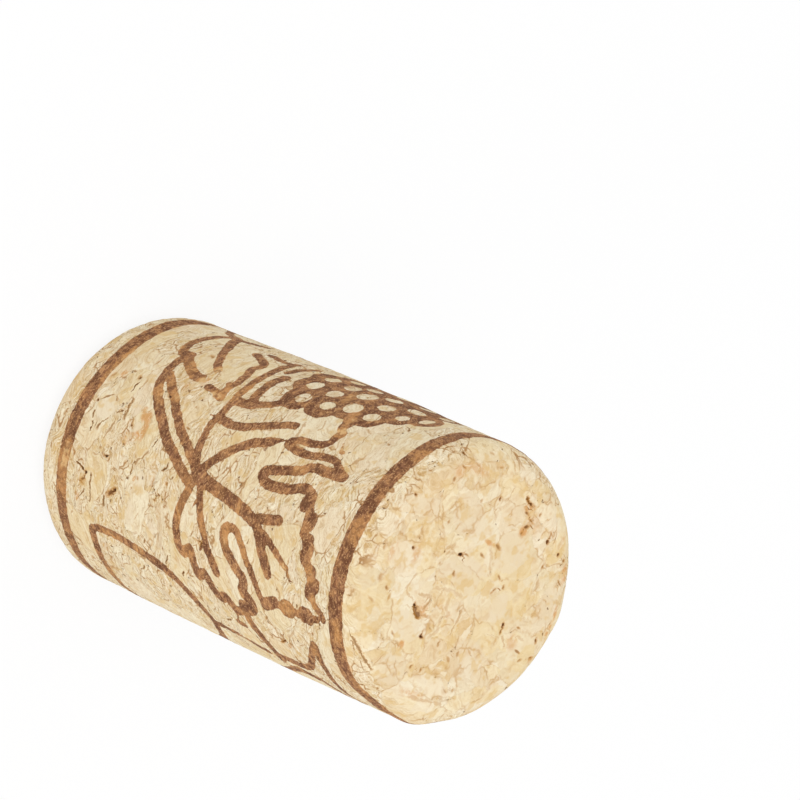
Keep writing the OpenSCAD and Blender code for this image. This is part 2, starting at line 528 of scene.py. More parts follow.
END_FLAWS = [
    (3.5, -3.8, 0.46, 0.25, 62, 0.7), (3.2, -4.2, 0.4, 0.28, 35, 0.7), (3, -4.45, 0.3, 0.15, 10, 0.95),
    (5.05, -2.45, 0.2, 0.15, 70, 1), (4.6, -2.5, 0.25, 0.09, 0, 0.5), (-2.2, -2.1, 0.26, 0.14, -70, 1),
    (-2.4, -1.5, 0.2, 0.08, 80, 0.6), (-0.6, -2, 0.2, 0.11, 30, 0.62), (1.6, 5.35, 0.2, 0.13, 0, 0.95),
    (2.05, 5.4, 0.25, 0.09, 0, 0.7), (1.65, 9.45, 0.25, 0.13, 15, 0.85),
    (3.2, 9.8, 0.25, 0.15, -60, 0.7), (3.1, 8, 0.28, 0.08, 80, 0.62), (3.7, 8.6, 0.2, 0.08, -45, 0.55),
    (1.3, 7.05, 0.15, 0.08, 90, 0.6), (-5.4, 7.85, 0.15, 0.12, 0, 0.82),
    (-5.15, 8.8, 0.2, 0.12, 45, 0.68), (-3.4, 9.25, 0.25, 0.08, 60, 0.75), (-4, 6.8, 0.12, 0.1, 0, 0.6),
    (-6, 6.15, 0.25, 0.17, 20, 0.85), (-6.6, 6.2, 0.4, 0.1, 0, 0.55), (-8.2, 2.85, 0.34, 0.14, 75, 0.82),
    (-8.5, 2.2, 0.22, 0.12, 30, 0.7), (-7, 3.5, 0.34, 0.1, 70, 0.7), (-6.4, 3.35, 0.28, 0.14, -50, 0.72),
    (-5.8, 3.1, 0.18, 0.12, 0, 0.6), (-7.4, 2.8, 0.25, 0.1, 75, 0.66), (-7.7, 4.2, 0.15, 0.1, 0, 0.58),
    (-1.2, 3.7, 0.18, 0.15, 0, 0.66), (-1.8, 2.8, 0.25, 0.09, 60, 0.62),
    (-0.7, 2.85, 0.3, 0.1, -35, 0.62), (-4, 1.3, 0.3, 0.13, 65, 0.6), (-2.85, 0.1, 0.25, 0.1, 70, 0.6),
    (5.2, 2, 0.2, 0.12, 0, 0.5), (5.9, 1.3, 0.25, 0.1, 50, 0.5), (8, 3.1, 0.15, 0.1, 0, 0.48),
    (8.3, 2.3, 0.3, 0.1, 60, 0.42), (5, -0.4, 0.2, 0.1, 0, 0.6), (7.5, -1.05, 0.18, 0.1, 0, 0.6),
    (7.6, -2.15, 0.2, 0.1, -20, 0.6), (5.7, -5.4, 0.25, 0.1, 60, 0.52), (3.2, -7.4, 0.22, 0.1, 0, 0.48),
    (2.55, -8.05, 0.18, 0.12, 60, 0.6), (2, -9.1, 0.25, 0.18, 20, 0.5), (3.9, -9, 0.3, 0.1, 70, 0.45),
    (-1.15, -7.1, 0.18, 0.14, 0, 0.85), (-5.1, -9.05, 0.17, 0.12, 60, 0.8),
    (-7.6, -0.6, 0.15, 0.12, 0, 0.75), (-9.9, -1.8, 0.2, 0.1, -70, 0.5),
    (-6.8, -2.4, 0.15, 0.1, 0, 0.48), (-10.7, -3, 0.25, 0.12, 70, 0.5), (-8.7, -5.5, 0.2, 0.1, 70, 0.65),
    (-7.5, -6.05, 0.17, 0.1, 0, 0.6), (-4.2, -4.75, 0.13, 0.1, 0, 0.55),
    (-0.9, -3.8, 0.13, 0.1, 30, 0.5), (6.2, -10, 0.2, 0.14, 0, 0.6), (-0.3, -10, 0.2, 0.12, 20, 0.48),
]
flaws = [(on_side, *row) for row in SIDE_FLAWS] + [(on_end, *row) for row in END_FLAWS]
flaw_chart = np.full((corner_count, 3), 9.0)
flaw_chart[:, 2] = 0.0
nearest = np.full(corner_count, 9.0)
for surface, first, second, half_long, half_wide, lean, dark in flaws:
    along, aside, away = small_chart(surface(first, second), half_long, half_wide, lean)
    mine = away < nearest
    nearest[mine] = away[mine]
    fade = np.clip((2.4 * half_long + 0.25 - away) / 0.3, 0, 1)
    values = np.stack([along, aside, dark * fade], axis=1)
    flaw_chart[mine] = values[mine]
keep("flaw", flaw_chart, "FLOAT_VECTOR")
print("flaws placed:", len(flaws))

# %% [markdown]
# Seams between granules open into fine cracks here and there. A crack is drawn
# like a pen stroke, but what the corners keep is their distance from it with a
# sign: plus on one side, minus on the other. Where the sign turns lies the
# crack, so even a crack of a tenth of a millimetre stays sharp.

# %% Cracks along the seams
# The points of each crack, its width in mm, and how dark it is
SIDE_CRACKS = [
    ([(-1, 15.45), (-0.5, 15.4), (0, 15.2)], 0.16, 0.88),
    ([(0.3, 15.35), (0.55, 14.9), (1, 14.55), (1.5, 14), (2.2, 14)], 0.17, 0.58),
    ([(1.4, 13.95), (1.8, 13.7), (2.4, 13.75), (2.95, 13.7)], 0.14, 0.68),
    ([(-3.5, 9.55), (-3.2, 9.95), (-2.6, 9.85), (-2.4, 10.05), (-1.6, 10.2), (-1, 10.4)], 0.2, 0.63),
    ([(-2.05, 9.85), (-1.85, 9.45), (-1.6, 8.85)], 0.2, 0.68),
    ([(-4.95, 9.15), (-4.4, 9), (-4.1, 9.15), (-3.6, 9.05)], 0.14, 0.83),
    ([(-2.4, 8.25), (-2.65, 8.1), (-2.9, 7.75)], 0.13, 0.58),
    ([(-3, 7.65), (-2.6, 6.95), (-2.1, 6.25), (-1.95, 6)], 0.13, 0.63),
    ([(-1, 8.45), (-0.7, 8.15), (-0.2, 7.7), (0.55, 7.55)], 0.19, 0.66),
    ([(-1.4, 9.25), (-0.7, 9.3), (0.05, 9.15), (0.55, 8.95), (1, 8.9)], 0.14, 0.58),
    ([(-0.2, 6.6), (0.1, 6.8), (0.55, 6.8), (0.8, 6.9)], 0.17, 0.83),
    ([(-1.15, 6.3), (-0.7, 6.35), (-0.3, 6.55)], 0.14, 0.68),
    ([(2.3, 9.05), (2.35, 8.55), (2.3, 8.05)], 0.11, 0.53),
    ([(-5.7, 7.85), (-5.55, 7.4), (-5.4, 6.9)], 0.15, 0.6),
    ([(5.3, 10.45), (5.7, 10.65), (6.15, 10.5), (6.4, 10.65)], 0.17, 0.68),
    ([(6.2, 10.35), (6.4, 9.95), (6.55, 9.55)], 0.11, 0.5),
    ([(3.8, 8.5), (4.8, 8.5), (6.1, 8.65), (6.6, 8.3)], 0.15, 0.7),
    ([(4.1, 7.55), (3.85, 6.95), (3.55, 6.1)], 0.15, 0.93),
    ([(5.5, 7.8), (5.95, 7.5), (6.4, 7.05), (6.7, 6.75)], 0.14, 0.73),
    ([(4.35, 14), (4.6, 13.35)], 0.11, 0.48), ([(10.15, 12.65), (10.45, 12.15)], 0.15, 0.68),
    ([(9.7, 13.35), (10.5, 13.15), (11.3, 13.05)], 0.19, 0.5),
    ([(10.3, 15.75), (10.8, 15.05), (11.1, 14.55)], 0.16, 0.68),
    ([(9.95, 14.35), (10.3, 13.95)], 0.15, 0.53), ([(11.4, 14.45), (12, 13.95)], 0.19, 0.58),
    ([(12.9, 5.75), (13.4, 5.15)], 0.15, 0.58), ([(8.05, 5.8), (8.5, 5.45)], 0.14, 0.53),
    ([(6.9, 7.35), (7.3, 6.85)], 0.11, 0.48), ([(7.7, 12.65), (7.95, 12.05)], 0.13, 0.53),
    ([(5.5, 15.75), (5.8, 15.35), (6.3, 14.95)], 0.13, 0.5), ([(7.15, 15.55), (7.65, 14.6)], 0.15, 0.43),
    ([(8.05, 19.55), (8.6, 19.3), (9.1, 18.95)], 0.15, 0.73), ([(8.9, 21.65), (9.45, 21.3)], 0.16, 0.88),
    ([(7.5, 16.55), (7.7, 16.3), (8.1, 16.15)], 0.15, 0.68), ([(11.3, 25), (12, 24.35)], 0.2, 0.58),
    ([(11.95, 26.7), (12.2, 26.35), (12.4, 25.85)], 0.15, 0.68),
    ([(3.3, 22.25), (3.65, 22.25), (3.7, 22.7), (3.4, 22.95)], 0.17, 0.48),
    ([(3.9, 17.65), (4.8, 18.05), (6, 18.35), (7.4, 18.25), (8.35, 17.65)], 0.2, 0.44),
    ([(3.8, 17.9), (4.4, 18.45), (6, 18.8), (7.8, 18.65)], 0.2, 0.38),
    ([(4.6, 17.15), (5.5, 16.95), (6.3, 17.05)], 0.2, 0.38),
    ([(0.45, 17.8), (0.85, 18), (1.1, 17.85), (1.5, 17.3)], 0.19, 0.76),
    ([(1.3, 19.25), (1.7, 19)], 0.11, 0.68), ([(-0.1, 23.25), (0.05, 23.6)], 0.11, 0.63),
    ([(-5, 25.15), (-4.5, 25.05)], 0.13, 0.53),
    ([(-7.6, 29.05), (-6.4, 29.5), (-5.55, 29.85)], 0.2, 0.53),
    ([(-5.1, 28.85), (-4.95, 28.45)], 0.13, 0.78), ([(-0.9, 28.85), (-0.4, 28.15)], 0.17, 0.43),
    ([(3.5, 30.45), (3.75, 30.35), (4.2, 30.25)], 0.12, 0.68),
    ([(5.55, 36.4), (5.5, 36.05), (5.25, 35.7), (4.75, 35.6), (4.45, 35.55)], 0.13, 0.7),
    ([(9.95, 32.05), (10.8, 31.7)], 0.15, 0.48),
    ([(9.8, 36.25), (10.5, 35.45), (11.05, 34.75)], 0.2, 0.46),
    ([(-11, 38.05), (-11.6, 37.35), (-11.7, 36.85)], 0.15, 0.68),
    ([(-8.5, 30.55), (-7.6, 31.15), (-7, 30.95)], 0.11, 0.53),
    ([(7.3, 28.05), (8, 28.3), (8.5, 28.45)], 0.15, 0.43),
]
END_CRACKS = [
    ([(0.95, 0.15), (0.8, -0.55), (0.75, -1.25), (0.9, -2.45), (1.2, -3.75)], 0.2, 0.4),
    ([(0.9, -1.3), (1.6, -1.3), (2.2, -1.15), (2.6, -0.75), (3.1, -1.25), (3.6, -1.15),
     (4.2, -1.15), (4.8, -1.65), (5.3, -1.85)], 0.2, 0.42),
    ([(1.4, 0.5), (2.5, 0.5), (3.5, 0.4), (4.2, 0.35)], 0.16, 0.5),
    ([(2.6, 4.95), (2.75, 4.35), (2.85, 3.75)], 0.11, 0.45), ([(0, 2.45), (0.8, 2.05)], 0.13, 0.35),
    ([(1.4, 2.35), (1.4, 1.35), (1.9, 0.85)], 0.16, 0.3),
    ([(-3.7, 0.25), (-3.3, 0.95), (-2.3, 1.35), (-1.5, 2.05)], 0.2, 0.42),
    ([(9.9, 4.25), (9.5, 2.45), (9.6, 1.05), (9.7, 0.05), (10, -1.45)], 0.2, 0.45),
    ([(8.9, 0.25), (8.9, -0.75), (8.4, -1.55)], 0.2, 0.35),
    ([(9.2, -5.35), (8.5, -6.75), (7.6, -8.15), (6.5, -9.75)], 0.15, 0.62),
    ([(9.9, -5.95), (9, -7.35), (8, -8.35), (7.2, -9.15)], 0.15, 0.55),
    ([(7, -4.75), (7.1, -6.35), (7.3, -7.55)], 0.16, 0.3),
    ([(-3.6, -7.15), (-3.5, -7.95), (-3.2, -8.75)], 0.2, 0.35),
    ([(-6.3, -4.75), (-6, -5.45), (-5.2, -5.85)], 0.2, 0.35),
    ([(-6.9, -8.25), (-6.4, -8.4), (-6, -8.25)], 0.16, 0.42),
    ([(-2.3, -2.45), (-1.8, -3.15), (-1.2, -3.75), (-0.4, -4.05)], 0.18, 0.35),
    ([(-8.3, 0.95), (-7.3, 0.25), (-6.6, -0.25), (-5.2, -0.35)], 0.2, 0.35),
    ([(-3.3, -3.85), (-3.3, -5.35), (-3.4, -6.55)], 0.2, 0.28),
    ([(2.1, 8.35), (2, 7.25), (2.3, 7.05)], 0.15, 0.42),
    ([(3.3, 6.45), (2.9, 6.15), (2.3, 5.65)], 0.16, 0.48),
    ([(-4.7, 6.95), (-4, 6.75), (-2.6, 6.65), (-1.2, 6.85)], 0.13, 0.36),
    ([(-6.8, 7.65), (-6, 7.55), (-5.6, 7.65)], 0.18, 0.42), ([(3.3, -4.7), (3.2, -5.5)], 0.2, 0.42),
    ([(3.85, -3.35), (3.65, -3.95), (3.35, -4.45), (2.8, -4.6)], 0.16, 0.8),
    ([(1.75, -3), (1.85, -3.8), (2, -4.4), (1.8, -4.75)], 0.2, 0.48),
    ([(1.75, -3.05), (2.3, -3.15), (2.75, -3.4), (3, -3.65)], 0.2, 0.55),
    ([(3.3, -2.4), (3.4, -2.9), (3.35, -3.3)], 0.18, 0.5),
    ([(0.2, -5.5), (1.2, -5.9), (1.9, -6.05), (2.3, -5.6), (2.6, -5), (2.85, -4.75)], 0.2, 0.45),
    ([(-8.6, 2.1), (-8.35, 2.3), (-8.15, 2.75), (-8.1, 3.3)], 0.16, 0.7),
    ([(7.9, 3.25), (8, 3.95), (8.5, 4.45)], 0.2, 0.35),
    ([(-1.2, 6.95), (-0.4, 7.35), (0.5, 7.65)], 0.16, 0.3),
]
cracks = [(chart, False, *row) for row in SIDE_CRACKS]
cracks += [(corners[:, :2], True, *row) for row in END_CRACKS]
crack_chart = np.full((corner_count, 3), 9.0)
crack_chart[:, 1:] = 0.0
nearest = np.full(corner_count, 9.0)
on_top = corners[:, 2] > LEN_MM - 1.0
for flat, is_end, points, width, dark in cracks:
    path = smooth_path(points, steps=4)
    near = np.all(flat > path.min(0) - REACH, axis=1)
    near &= np.all(flat < path.max(0) + REACH, axis=1)
    here = np.flatnonzero(near & (on_top == is_end))
    start, along = path[:-1], path[1:] - path[:-1]
    arm = flat[here][:, None, :] - start
    t = np.clip((arm * along).sum(2) / (along**2).sum(1), 0, 1)
    away = np.linalg.norm(arm - t[..., None] * along, axis=2)
    closest = away.argmin(1)
    row = np.arange(len(here))
    away = away[row, closest]
    turned = along[closest, 0] * arm[row, closest, 1] - along[closest, 1] * arm[row, closest, 0]
    share = (closest + t[row, closest]) / len(start)
    ends = np.clip(12 * np.minimum(share, 1 - share), 0, 1)
    shown = dark * ends * np.clip((0.6 - away) / 0.2, 0, 1)
    values = np.stack([np.sign(turned) * away / (width / 2), shown, 0 * shown], axis=1)
    mine = away < nearest[here]
    nearest[here[mine]] = away[mine]
    crack_chart[here[mine]] = values[mine]
keep("crack", crack_chart, "FLOAT_VECTOR")
print("cracks drawn:", len(cracks))

# %% [markdown]
# Three more things vary slowly over the surface, so soft oval spots on the
# corners are enough for them: orange bark that got in between the granules, the
# large smooth granules, and the places where the print has rubbed off.

# %% Bark, smooth granules and wear
# Place, half length, half width, lean in degrees, and how strong it is
SIDE_BARK = [
    (-1.15, 13.35, 0.9, 0.3, 5, 1.1), (-2.25, 12.75, 0.45, 0.55, 0, 1.1),
    (-2.75, 12.2, 0.3, 0.5, 0, 0.8), (-0.15, 12, 0.35, 0.9, 10, 1.1), (0.35, 11.8, 0.25, 0.5, 0, 1),
    (-0.25, 11.1, 0.35, 0.5, 0, 0.8), (-1.2, 11.3, 0.4, 0.35, 0, 0.7), (-0.5, 12.8, 0.4, 0.3, 0, 0.8),
    (-5.05, 6.65, 0.38, 0.25, 0, 1), (-4.75, 11.6, 0.6, 0.25, 45, 1), (-7.3, 15.5, 0.5, 0.4, 0, 0.9),
    (-6.2, 14.5, 0.9, 0.6, 30, 0.55), (3.05, 14.4, 0.35, 0.2, 0, 0.9), (6.5, 6.6, 0.35, 0.4, 0, 1.1),
    (4.9, 11.5, 0.6, 0.25, -55, 0.6), (5, 7.4, 0.5, 0.3, -50, 0.6), (-2.6, 9.95, 0.7, 0.2, 0, 0.6),
    (-1.9, 9.5, 0.3, 0.4, 0, 0.6), (11.95, 34.65, 0.5, 0.2, -57, 1), (-0.25, 31.75, 0.2, 0.14, 0, 0.9),
    (6.6, 36.1, 0.5, 0.2, 0, 0.5), (11.6, 18.1, 0.8, 0.25, 0, 0.5), (5.6, 24.3, 0.3, 0.5, 0, 0.7),
    (10.4, 9.9, 0.4, 0.5, 0, 0.5), (7.9, 26.5, 0.15, 0.4, -45, 0.6), (-2.7, 35.9, 0.6, 0.6, 0, 0.4),
]
END_BARK = [
    (-6.9, 3.9, 1, 0.9, 0, 0.35), (-7.92, 2.8, 0.36, 0.5, 0, 1.2), (-5.95, 3.15, 0.45, 0.35, 0, 0.9),
    (-4, 0.36, 0.6, 0.2, 85, 0.8), (2.85, -3.45, 0.5, 0.24, -25, 1.1), (2.3, -3.8, 0.5, 0.6, 0, 0.35),
    (3.4, -2.95, 0.16, 0.5, 0, 0.9), (3.4, -2.84, 0.45, 0.12, 85, 0.6), (6.3, -4.14, 0.4, 0.25, 0, 0.9),
    (2.55, -0.69, 0.3, 0.25, 0, 0.7), (2.2, -1.74, 0.3, 0.45, 0, 0.45), (-9, -4.14, 0.5, 1.3, 0, 0.45),
    (-8.2, -5.74, 0.5, 0.5, 0, 0.5), (-4.2, 9.56, 0.7, 0.4, 15, 1), (-1.1, 10.26, 0.7, 0.2, 10, 0.7),
    (0.6, 10.36, 0.7, 0.2, 0, 0.7), (3.3, 9.96, 0.4, 0.2, -20, 0.6), (2.6, 6.96, 0.7, 0.6, 20, 0.45),
    (-6.5, 7.86, 0.6, 0.3, 0, 0.5), (-1, -6.54, 1, 0.35, 0, 0.45), (-0.4, -9.04, 1.1, 0.3, 0, 0.4),
    (9.9, -6.94, 0.35, 0.6, 0, 0.8), (9.6, -0.5, 0.4, 1.5, 0, 0.45),
]
SIDE_SMOOTH = [
    (-1.65, 7.5, 0.95, 1.05, 0, 1.1), (-1.1, 12.35, 0.45, 0.4, 0, 1.1), (2.8, 15.2, 0.8, 0.7, 0, 0.7),
    (7, 17.2, 1.4, 0.7, 0, 0.6), (0.3, 33.8, 1, 1.4, 0, 0.5), (6, 14.4, 1.6, 0.9, 0, 0.5),
    (11.5, 25.5, 1.4, 1.2, 0, 0.5), (-2.6, 11.3, 0.8, 0.5, 0, 0.6),
]
END_SMOOTH = [
    (-3.9, 2.76, 1.5, 1.6, 30, 0.9), (-6.9, 1.16, 1.7, 0.9, 0, 0.9), (-0.6, -0.54, 1.6, 1.4, 0, 0.9),
    (4.7, -4.54, 1, 1.5, -20, 0.9), (-0.9, 9.06, 1.9, 1.1, 0, 0.9), (-5.3, -2.94, 2.2, 1.6, 60, 0.7),
    (5.4, 3.06, 1.8, 2.2, 0, 0.7), (-4.6, -7.54, 0.7, 1.6, 20, 0.8), (2.9, -0.34, 1.6, 0.6, 0, 0.7),
    (-5.5, 6.16, 0.3, 0.6, 0, 1.1), (8.3, -3.94, 1.4, 1.8, 0, 0.7), (-0.9, -2.94, 1, 0.6, -20, 0.9),
    (0.5, 4.06, 1.4, 0.9, 0, 0.7),
]
# Below nought the ink lies thicker instead
SIDE_WORN = [
    (3.7, 4.6, 1.4, 0.8, 0, 0.82), (6, 4.6, 1.4, 0.7, 0, 0.55), (-6, 5, 2.5, 0.35, 0, 0.7),
    (10.5, 4.5, 1.5, 0.6, 0, 0.2), (1.5, 28.2, 0.6, 0.25, 10, 0.7), (7.95, 35.8, 0.8, 0.9, 0, 0.6),
    (4.2, 38.4, 0.9, 0.6, 40, 0.55), (6.4, 39.2, 0.6, 0.6, 0, 0.6), (4.6, 35.4, 0.7, 0.7, 0, 0.6),
    (4.6, 29.8, 1.2, 0.5, 38, 0.6), (4.2, 27.5, 1, 0.6, 0, 0.6), (7, 22.5, 0.8, 0.8, 0, 0.5),
    (4.6, 21, 1.8, 0.4, 0, 0.5), (4.2, 24.2, 1, 0.4, 30, 0.55), (-3.3, 32.6, 0.6, 0.6, 0, 0.7),
    (-7.9, 33.1, 0.6, 0.6, 0, 0.9), (-9.4, 32.6, 0.7, 0.4, 0, 0.6), (-12.3, 28.9, 1.4, 0.5, 20, 0.7),
    (-10.5, 31.9, 0.8, 0.4, 20, 0.5), (-6.5, 18.1, 0.5, 0.9, 0, 0.8), (-7.3, 15.3, 0.5, 0.6, 0, 1),
    (-9, 15.4, 0.6, 0.5, 0, 0.9), (-5, 14.3, 0.9, 0.5, 60, 0.7), (-4.6, 12.3, 1.2, 0.5, 45, 0.6),
    (8.85, 15.2, 0.4, 0.7, 0, 0.8), (8.65, 11.2, 0.4, 1.2, 0, 0.6), (14.5, 8.4, 2, 0.6, 0, 0.5),
    (11, 38.3, 0.8, 0.5, 0, 0.5), (-8.6, 20.2, 1.4, 0.4, 0, 0.5), (10.9, 29.4, 0.7, 0.7, 0, 0.6),
    (1, 25.4, 0.5, 0.7, 0, 0.35), (-0.6, 42.1, 1.2, 0.6, 0, 0.5), (8.2, 42, 1, 0.5, 0, 0.5),
    (-9, 41.9, 1, 0.5, 0, 0.4), (14, 42, 1.5, 0.5, 0, 0.5), (-6.4, 35.2, 0.8, 0.6, 0, 0.7),
    (-8, 12.4, 2.4, 1.2, 0, 0.55), (-9.2, 8.6, 1.2, 0.8, 0, 0.45), (-7, 19.2, 1.2, 1.2, 0, 0.45),
    (2.6, 21, 1.6, 1.5, 0, 0.45), (2.4, 24.6, 0.9, 0.9, 0, 0.4), (-9, 2.8, 1.2, 0.5, 0, 0.4),
    (-7.4, 24, 0.6, 0.6, 0, 0.35), (-9.6, 27.6, 1.6, 2, 0, -1), (-4.4, 29.6, 1.6, 0.8, 0, -0.7),
    (-1.2, 18, 0.8, 1.3, 0, -1), (8.6, 18, 0.8, 1, 0, -1), (6.6, 26.6, 0.6, 0.8, 0, -0.8),
    (-9.6, 21, 0.8, 1, 0, -0.8), (5.6, 21, 0.6, 0.8, 0, -0.5), (-6, 26.8, 0.8, 0.8, 0, -0.4),
    (4.8, 33, 0.8, 0.8, 0, -0.7), (8.6, 2.9, 1.5, 0.5, 0, -0.5), (11, 2.9, 1.5, 0.5, 0, -0.7),
    (1, 35.6, 0.8, 0.8, 0, -0.6),
]
SPOTS = [("bark", SIDE_BARK, END_BARK), ("smooth", SIDE_SMOOTH, END_SMOOTH), ("worn", SIDE_WORN, [])]
for name, side_spots, end_spots in SPOTS:
    touched = np.zeros(corner_count)
    spots = [(on_side, *row) for row in side_spots] + [(on_end, *row) for row in end_spots]
    for surface, first, second, half_long, half_wide, lean, amount in spots:
        along, aside, away = small_chart(surface(first, second), half_long, half_wide, lean)
        oval = np.hypot(along, aside) + 9.0 * (away > 3 * max(half_long, half_wide))
        spot = amount * np.clip(1.6 - oval, 0, 1)
        touched = np.where(np.abs(spot) > np.abs(touched), spot, touched)
    keep(name, touched)
    print(name, "touches", int((touched != 0).sum()), "corners")

# %% [markdown]
# A real cork isn't quite round. The flats and bulges of its upper rim and a
# slight swelling of the barrel are kept as one depth in mm, which goes in with
# the relief below. They are set to match the cork's outline from one side only,
# so part of them may make up for a length or a camera that is a little off.

# %% Rim and barrel out of round
turn_east = np.degrees(np.arctan2(corners[:, 1], corners[:, 0]))
outwards = (np.hypot(corners[:, 0], corners[:, 1]) / R_MM) ** 8
near_rim = np.clip((corners[:, 2] - LEN_MM + 5) / 4, 0, 1) * outwards
# The middle of each in degrees from +X, its spread, and how deep in mm; a bulge is below nought
RIM_WEAR = [
    (-13, 14, 0.6), (-95, 12, 0.1), (10, 8, -0.32), (94, 9, -0.26), (34, 9, -0.08), (113, 5, -0.08),
]
# The barrel swells by about a tenth of a millimetre between the rims, and two towards one side
BELLY_MM, SIDE_BELLY_MM, BELLY_SIDE = 0.08, 0.1, -168
above_rim = np.clip((corners[:, 2] - 6) / 8, 0, 1)
below_rim = np.clip((LEN_MM - 6 - corners[:, 2]) / 8, 0, 1)
belly_side = np.clip(np.cos(np.radians(turn_east - BELLY_SIDE)), 0, 1) ** 3
flat_depth = -(BELLY_MM + SIDE_BELLY_MM * belly_side) * above_rim * below_rim * outwards
for middle, spread, deep in RIM_WEAR:
    flat_depth += deep * np.exp(-(((turn_east - middle) / spread) ** 2)) * near_rim
keep("flat", flat_depth)
print("deepest flat in mm:", flat_depth.max().round(3), "highest bulge:", -flat_depth.min().round(3))

# %% [markdown]
# The material and the relief of the surface are both made of the same pattern.
# A material is a tree of nodes, and so is the modifier that moves the surface,
# so one function can write the pattern into either. One helper adds a node,
# sets it up, and fills or links its inputs.

# %% One helper for nodes, one for colours
# Short names for the kinds of node and the settings that come up again and again
MATH = "ShaderNodeMath"
VECTOR = "ShaderNodeVectorMath"
PARTS = "ShaderNodeSeparateXYZ"
NOISE = "ShaderNodeTexNoise"
CELLS = "ShaderNodeTexVoronoi"
RAMP = "ShaderNodeMapRange"
TIMES = {"operation": "MULTIPLY"}
PLUS = {"operation": "ADD"}
MINUS = {"operation": "SUBTRACT"}
TIMES_PLUS = {"operation": "MULTIPLY_ADD"}
SOFT = {"interpolation_type": "SMOOTHSTEP"}


def add(tree, kind, inputs=(), out=0, **settings):
    """Adds a node with its settings and inputs, and returns one of its outputs."""
    made = tree.nodes.new(kind)
    for name, value in settings.items():
        setattr(made, name, value)
    named = inputs if isinstance(inputs, dict) else dict(enumerate(inputs))
    for place, value in named.items():
        if isinstance(value, bpy.types.NodeSocket):
            tree.links.new(value, made.inputs[place])
        else:
            made.inputs[place].default_value = value
    return made.outputs[out] if len(made.outputs) else None


def linear(hex_colour):
    """An sRGB hex colour as the linear numbers that Blender works in."""
    shares = [int(hex_colour[i : i + 2], 16) / 255 for i in (1, 3, 5)]
    return (*[c / 12.92 if c < 0.04045 else ((c + 0.055) / 1.055) ** 2.4 for c in shares], 1.0)


print("cream in linear numbers:", [round(share, 3) for share in linear("#E7D4AB")])

# %% [markdown]
# Granules are cells of a Voronoi pattern. Real ones are torn and pressed, not
# crystals, so the place is warped before it is looked up: a slow warp bends the
# cells and a quick one frays their edges. Pressing flattens the granules along
# the cork, so the pattern is squeezed that way. More than half of the large
# cells are split again into small ones.

# %% The pattern of the granules
GRANULE, SMALL_GRANULE = 4.2, 1.7
FLATTENED = (1, 1, 1.35)
SPLIT_ABOVE = 0.42


def granules(tree, place):
    """Writes the pattern at a place in mm, and returns its sockets by name."""
    flat = add(tree, VECTOR, (place, FLATTENED), **TIMES)
    slow = add(tree, NOISE, {"Vector": place, "Scale": 0.28, "Detail": 1.0}, out=1)
    quick = add(tree, NOISE, {"Vector": place, "Scale": 1.3, "Detail": 2.0}, out=1)
    bent = add(tree, VECTOR, (slow, (2.6, 2.6, 2.6), flat), **TIMES_PLUS)
    torn = add(tree, VECTOR, (quick, (0.8, 0.8, 0.8), bent), **TIMES_PLUS)
    edges, tones = [], []
    for size in (GRANULE, SMALL_GRANULE):
        at = {"Vector": torn, "Scale": 1 / size}
        edge = add(tree, CELLS, at, feature="DISTANCE_TO_EDGE")
        edges.append(add(tree, MATH, (edge, size), **TIMES))
        tones.append(add(tree, CELLS, at, out=1))
    chance = add(tree, PARTS, (tones[0],))
    split = add(tree, MATH, (chance, SPLIT_ABOVE), operation="GREATER_THAN")
    far = add(tree, MATH, (1.0, split), **MINUS)
    small_edge = add(tree, MATH, (far, GRANULE, edges[1]), **TIMES_PLUS)
    edge = add(tree, MATH, (edges[0], small_edge), operation="MINIMUM")
    tone = add(tree, "ShaderNodeMix", {0: split, 4: tones[0], 5: tones[1]}, out=1, data_type="VECTOR")
    return {"edge": edge, "tone": tone, "split": split, "large": tones[0], "small": tones[1]}


print(f"granules of {GRANULE} and {SMALL_GRANULE} mm")

# %% [markdown]
# Inside each granule, cork shows the layers in which the bark grew. They are
# pressed nearly level, so on the barrel they run round it as fine fibres, while
# the cut ends look along them and show wide, calm, wavy rings. Three fields
# describe them: broad fibres, hair-fine fibres, and the thin lines of the years.

# %% The layers inside the granules
YEAR_MM = 0.5
LEAN_LOW, LEAN_RANGE = (-0.75, -0.75, 0.7), (1.5, 1.5, 0.4)


def layers(tree, place, tone):
    """Writes the layers at a place in mm, and returns broad and fine fibres and year lines."""
    lean = add(tree, VECTOR, (tone, LEAN_RANGE, LEAN_LOW), **TIMES_PLUS)
    normal = add(tree, VECTOR, (lean,), operation="NORMALIZE")
    wave = add(tree, NOISE, {"Vector": place, "Scale": 0.5, "Detail": 2.0}, out=1)
    wavy = add(tree, VECTOR, (wave, (2.4, 2.4, 2.4), place), **TIMES_PLUS)
    across = add(tree, VECTOR, (wavy, normal), out=1, operation="DOT_PRODUCT")
    squeezed = add(tree, VECTOR, {0: normal, "Scale": across}, operation="SCALE")
    pressed = add(tree, VECTOR, (squeezed, (7.0, 7.0, 7.0), wavy), **TIMES_PLUS)
    # Each granule looks up a far-off place of its own, so no fibre runs on into the next
    apart = add(tree, VECTOR, (tone, (50.0, 50.0, 50.0), pressed), **TIMES_PLUS)
    hair = {"Vector": apart, "Scale": 0.85, "Detail": 3.0, "Roughness": 0.65}
    fine = add(tree, NOISE, hair)
    broad = add(tree, NOISE, {"Vector": apart, "Scale": 0.32, "Detail": 2.0})
    year = add(tree, MATH, (across, YEAR_MM / 2), operation="PINGPONG")
    return broad, fine, year


print(f"a year of bark is {YEAR_MM} mm")

# %% [markdown]
# The relief is the part of the pattern that is wide enough to be true shape:
# a step from granule to granule, a groove along the seams, the flaws, the rim's
# flats, and a slow unevenness. It hardly leaves the cork's true size, and each
# end stays level. A geometry nodes modifier moves the corners along their
# normals and is then applied.

